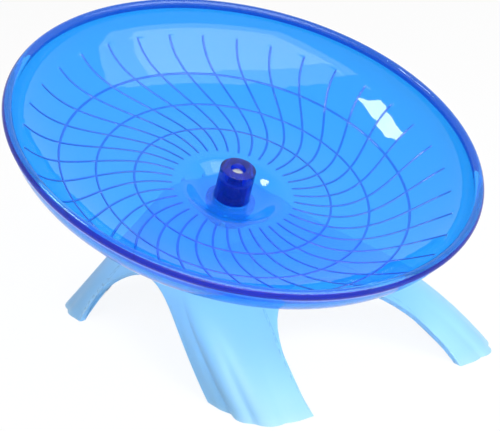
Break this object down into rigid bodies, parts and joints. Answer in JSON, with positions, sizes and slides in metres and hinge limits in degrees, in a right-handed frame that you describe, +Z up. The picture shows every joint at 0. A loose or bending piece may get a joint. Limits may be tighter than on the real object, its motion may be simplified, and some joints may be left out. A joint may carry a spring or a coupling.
{
  "type": "flying saucer wheel",
  "caption": "Tilted running saucer for small pets: a clear dish with swept grip ribs turns on a ball bearing above a low one-piece stand with scalloped feet.",
  "frame": {"origin": "on the floor, straight below the middle of the dish's rim", "axes": "+Z up; -Y is the front, where the dish leans down over the long legs; +X to the right seen from the front"},
  "size_m": [0.1798, 0.1684, 0.1028],
  "materials": {
    "clear_blue": "clear, polished",
    "deep_blue": "translucent, polished",
    "frosted_blue": "frosted translucent",
    "zinc_steel": "zinc plated",
    "bearing_steel": "ground and polished",
    "nylon": "moulded"
  },
  "bodies": {
    "stand_body": {"stand": "frosted_blue", "axle_bolt": "zinc_steel", "lock_nut": "zinc_steel", "washer_upper": "zinc_steel", "washer_spacer": "zinc_steel", "washer_lower": "zinc_steel", "bearing_inner_ring": "bearing_steel"},
    "dish_body": {"running_dish": "clear_blue", "hub_sleeve": "deep_blue", "bearing_outer_ring": "bearing_steel", "bearing_shield_upper": "bearing_steel", "bearing_shield_lower": "bearing_steel"},
    "cage_body": {"bearing_cage": "nylon", "bearing_ball_1": "bearing_steel", "bearing_ball_2": "bearing_steel", "bearing_ball_3": "bearing_steel", "bearing_ball_4": "bearing_steel", "bearing_ball_5": "bearing_steel", "bearing_ball_6": "bearing_steel", "bearing_ball_7": "bearing_steel"}
  },
  "joints": [
    {"name": "dish_spin", "type": "hinge", "parent": "stand_body", "child": "dish_body", "pos_m": [0, 0, 0.0702], "axis": [0, -0.3502, 0.9367], "continuous": true},
    {"name": "cage_turn", "type": "hinge", "parent": "stand_body", "child": "cage_body", "pos_m": [0, 0, 0.0702], "axis": [0, -0.3502, 0.9367], "continuous": true}
  ],
  "couplings": [
    {"joint": "cage_turn", "follows": "dish_spin", "ratio": 0.64286}
  ]
}
